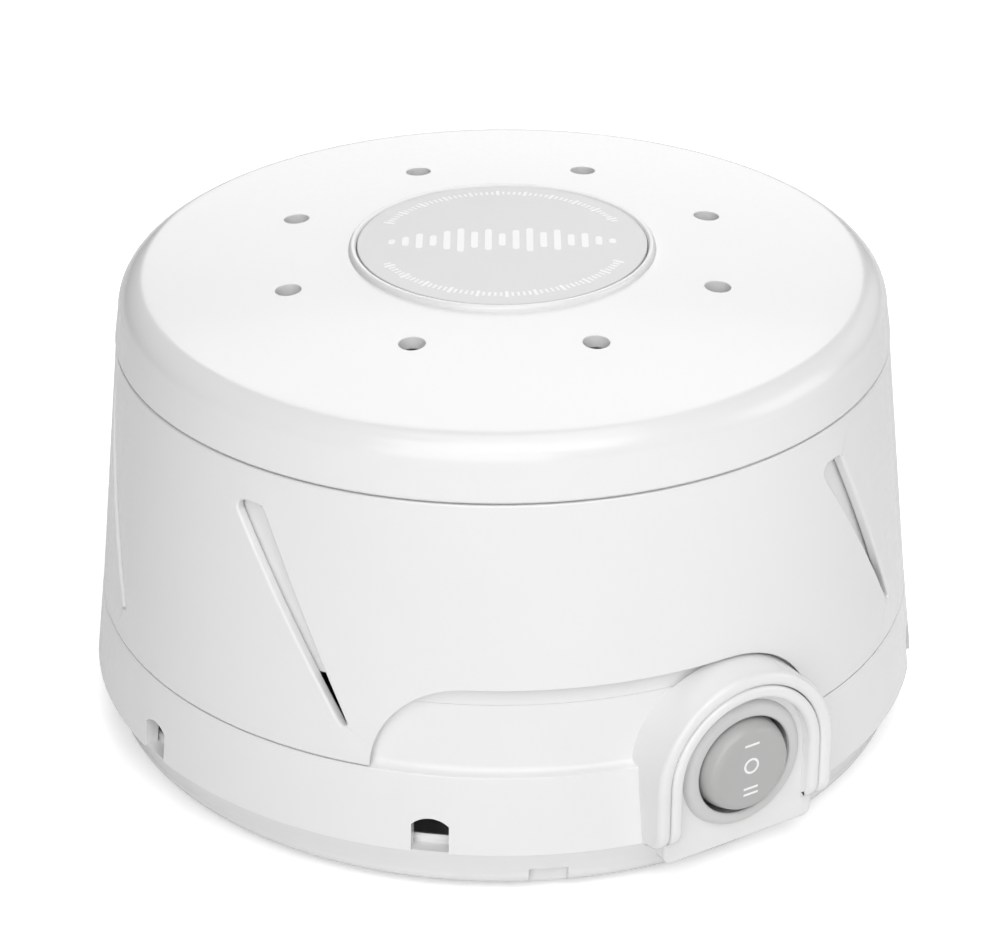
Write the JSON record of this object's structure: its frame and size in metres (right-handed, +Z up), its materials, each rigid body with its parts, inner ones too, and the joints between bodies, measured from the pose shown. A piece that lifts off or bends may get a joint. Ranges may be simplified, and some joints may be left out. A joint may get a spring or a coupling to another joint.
{
  "type": "white noise sound machine",
  "caption": "Round fan-type white noise machine: turning cap and slotted tone collar over a fan housing, round rocker switch in an arched hood, pan with rubber feet.",
  "frame": {"origin": "On the table under the middle of the body: the centre of the plane the four rubber feet stand on.", "axes": "+Z up along the axis the cap, collar and fan turn about; -Y the side with the switch; +X to the right for someone facing the switch."},
  "size_m": [0.146, 0.1534, 0.0856],
  "materials": {
    "body_plastic": "glossy moulded white",
    "medallion_plastic": "satin light grey disc with plain printed marks",
    "bezel_plastic": "grey switch bezel",
    "rocker_plastic": "grey rocker with white printed marks",
    "foot_rubber": "black rubber",
    "gland_rubber": "light grey rubber",
    "screw_steel": "zinc plated steel",
    "motor_steel": "blued sheet steel",
    "bracket_aluminium": "die cast",
    "bearing_bronze": "sintered bronze",
    "contact_brass": "bare brass",
    "winding_copper": "enamelled copper",
    "washer_plastic": "natural nylon",
    "sleeve_plastic": "black insulating sleeve",
    "lead_insulation": "red lead insulation",
    "fan_plastic": "dark moulded fan"
  },
  "bodies": {
    "base": {"bottom_pan": "body_plastic", "rubber_feet": "foot_rubber", "pan_screws": "screw_steel", "base_housing": "body_plastic", "cord_gland": "gland_rubber", "switch_plate": "body_plastic", "switch_body": "bezel_plastic", "rocker_pin": "screw_steel", "contact_pin": "screw_steel", "switch_terminals": "contact_brass", "terminal_sleeves": "sleeve_plastic", "motor_leads": "lead_insulation", "acoustic_shell": "body_plastic", "shell_screws": "screw_steel", "cap_washer": "washer_plastic", "cap_pivot_screw": "screw_steel", "motor_carrier": "motor_steel", "motor_grommets": "foot_rubber", "grommet_screws": "screw_steel", "motor_bolts": "screw_steel", "motor_nuts": "screw_steel", "lower_bearing_bracket": "bracket_aluminium", "upper_bearing_bracket": "bracket_aluminium", "lower_bearing": "bearing_bronze", "upper_bearing": "bearing_bronze", "motor_laminations": "motor_steel", "shading_rings": "winding_copper", "coil_bobbin": "washer_plastic", "coil_winding": "winding_copper", "thermal_fuse": "screw_steel"},
    "collar": {"tone_collar": "body_plastic"},
    "cap": {"top_cap": "body_plastic", "medallion": "medallion_plastic"},
    "rocker": {"rocker_button": "rocker_plastic", "plunger_spring": "screw_steel", "contact_plunger": "contact_brass"},
    "contact": {"contact_arm": "contact_brass"},
    "fan": {"rotor": "motor_steel", "motor_shaft": "screw_steel", "fan_impeller": "fan_plastic", "fan_collar": "bearing_bronze"}
  },
  "joints": [
    {"name": "collar_turn", "type": "hinge", "parent": "base", "child": "collar", "pos_m": [0, 0, 0.0469], "axis": [0, 0, 1], "range_deg": [0, 34.5]},
    {"name": "cap_turn", "type": "hinge", "parent": "base", "child": "cap", "pos_m": [0, 0, 0.079], "axis": [0, 0, 1], "range_deg": [0, 22.5]},
    {"name": "rocker_tilt", "type": "hinge", "parent": "base", "child": "rocker", "pos_m": [0, -0.072, 0.0208], "axis": [1, 0, 0], "range_deg": [-10, 10]},
    {"name": "contact_tilt", "type": "hinge", "parent": "base", "child": "contact", "pos_m": [0, -0.0581, 0.0208], "axis": [1, 0, 0], "range_deg": [-8, 8]},
    {"name": "fan_spin", "type": "hinge", "parent": "base", "child": "fan", "pos_m": [0, 0, 0.034], "axis": [0, 0, 1], "continuous": true}
  ],
  "couplings": [
    {"joint": "contact_tilt", "follows": "rocker_tilt", "ratio": -0.8}
  ]
}
